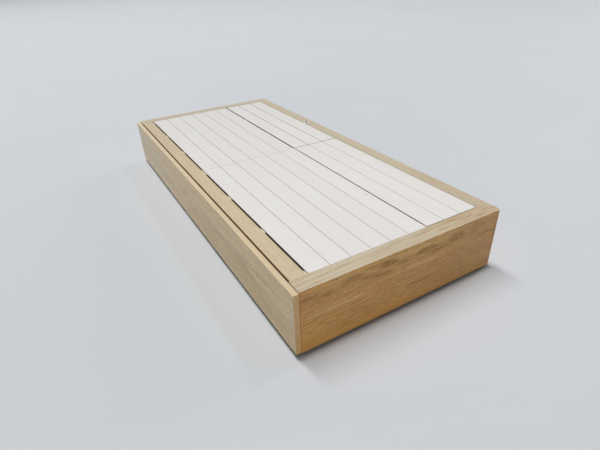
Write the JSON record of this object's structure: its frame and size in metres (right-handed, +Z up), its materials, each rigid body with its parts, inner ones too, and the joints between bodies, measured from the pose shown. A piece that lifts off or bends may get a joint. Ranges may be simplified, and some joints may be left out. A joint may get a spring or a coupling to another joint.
{
  "type": "tatami platform bed",
  "caption": "Low single platform bed in oak-faced board with a flush lift-out slatted deck and one full-length drawer on castors.",
  "frame": {"origin": "on the floor under the middle of the bed", "axes": "+Z up, Y along the bed with the near end at -Y, X across it with the drawer at -X"},
  "size_m": [0.9, 2, 0.262],
  "materials": {
    "oak": "clear matt lacquer over oak veneer",
    "oak_front": "clear matt lacquer over oak veneer",
    "beam_timber": "planed and lacquered timber",
    "pine": "planed bare pine",
    "slat_wood": "pale paulownia, sanded and whitened",
    "drawer_board": "sealed birch plywood",
    "sheet_steel": "zinc plated",
    "zinc_steel": "zinc plated",
    "foot_plastic": "moulded polyethylene",
    "wheel_plastic": "moulded nylon",
    "white_plastic": "moulded white plastic"
  },
  "bodies": {
    "frame": {"near_end_panel": "oak", "near_end_cap": "oak", "far_end_panel": "oak", "far_end_cap": "oak", "side_panel": "oak", "side_cap": "oak", "front_beam": "beam_timber", "bearer_ledgers": "pine", "near_end_bearer": "pine", "far_end_bearer": "pine", "bearer_1": "pine", "bearer_2": "pine", "middle_bearer": "pine", "bearer_3": "pine", "bearer_4": "pine", "corner_posts": "pine", "centre_divider": "pine", "feet": "foot_plastic", "joining_plates": "sheet_steel", "plate_screws": "zinc_steel", "frame_screws": "zinc_steel", "ring_plug": "white_plastic"},
    "drawer": {"drawer_front": "oak_front", "drawer_sub_front": "drawer_board", "drawer_near_side": "drawer_board", "drawer_far_side": "drawer_board", "drawer_back": "drawer_board", "drawer_divider": "drawer_board", "drawer_bottom": "drawer_board", "drawer_screws": "zinc_steel", "castor_forks": "sheet_steel", "castor_axles": "zinc_steel"},
    "near_wide_panel": {"near_slat_1": "slat_wood", "near_slat_2": "slat_wood", "near_slat_3": "slat_wood", "near_slat_4": "slat_wood", "near_slat_5": "slat_wood", "near_slat_6": "slat_wood", "near_wide_battens": "slat_wood"},
    "near_narrow_panel": {"near_slat_7": "slat_wood", "near_slat_8": "slat_wood", "near_slat_9": "slat_wood", "near_narrow_battens": "slat_wood"},
    "far_wide_panel": {"far_slat_1": "slat_wood", "far_slat_2": "slat_wood", "far_slat_3": "slat_wood", "far_slat_4": "slat_wood", "far_slat_5": "slat_wood", "far_slat_6": "slat_wood", "far_wide_battens": "slat_wood"},
    "far_narrow_panel": {"far_slat_7": "slat_wood", "far_slat_8": "slat_wood", "far_slat_9": "slat_wood", "far_narrow_battens": "slat_wood"},
    "wheel_1": {"castor_wheel_1": "wheel_plastic"},
    "wheel_2": {"castor_wheel_2": "wheel_plastic"},
    "wheel_3": {"castor_wheel_3": "wheel_plastic"},
    "wheel_4": {"castor_wheel_4": "wheel_plastic"},
    "wheel_5": {"castor_wheel_5": "wheel_plastic"},
    "wheel_6": {"castor_wheel_6": "wheel_plastic"}
  },
  "joints": [
    {"name": "drawer_slide", "type": "slide", "parent": "frame", "child": "drawer", "axis": [-1, 0, 0], "range_m": [0, 0.5]},
    {"name": "near_wide_lift", "type": "slide", "parent": "frame", "child": "near_wide_panel", "axis": [0, 0, 1], "range_m": [0, 0.25]},
    {"name": "near_narrow_lift", "type": "slide", "parent": "frame", "child": "near_narrow_panel", "axis": [0, 0, 1], "range_m": [0, 0.25]},
    {"name": "far_wide_lift", "type": "slide", "parent": "frame", "child": "far_wide_panel", "axis": [0, 0, 1], "range_m": [0, 0.25]},
    {"name": "far_narrow_lift", "type": "slide", "parent": "frame", "child": "far_narrow_panel", "axis": [0, 0, 1], "range_m": [0, 0.25]},
    {"name": "wheel_1_spin", "type": "hinge", "parent": "drawer", "child": "wheel_1", "pos_m": [-0.38, -0.88, 0.014], "axis": [0, -1, 0], "continuous": true},
    {"name": "wheel_2_spin", "type": "hinge", "parent": "drawer", "child": "wheel_2", "pos_m": [0.06553, -0.88, 0.014], "axis": [0, -1, 0], "continuous": true},
    {"name": "wheel_3_spin", "type": "hinge", "parent": "drawer", "child": "wheel_3", "pos_m": [-0.38, 0, 0.014], "axis": [0, -1, 0], "continuous": true},
    {"name": "wheel_4_spin", "type": "hinge", "parent": "drawer", "child": "wheel_4", "pos_m": [0.06553, 0, 0.014], "axis": [0, -1, 0], "continuous": true},
    {"name": "wheel_5_spin", "type": "hinge", "parent": "drawer", "child": "wheel_5", "pos_m": [-0.38, 0.88, 0.014], "axis": [0, -1, 0], "continuous": true},
    {"name": "wheel_6_spin", "type": "hinge", "parent": "drawer", "child": "wheel_6", "pos_m": [0.06553, 0.88, 0.014], "axis": [0, -1, 0], "continuous": true}
  ],
  "couplings": [
    {"joint": "wheel_1_spin", "follows": "drawer_slide", "rad_per_m": 71.429},
    {"joint": "wheel_2_spin", "follows": "drawer_slide", "rad_per_m": 71.429},
    {"joint": "wheel_3_spin", "follows": "drawer_slide", "rad_per_m": 71.429},
    {"joint": "wheel_4_spin", "follows": "drawer_slide", "rad_per_m": 71.429},
    {"joint": "wheel_5_spin", "follows": "drawer_slide", "rad_per_m": 71.429},
    {"joint": "wheel_6_spin", "follows": "drawer_slide", "rad_per_m": 71.429}
  ]
}
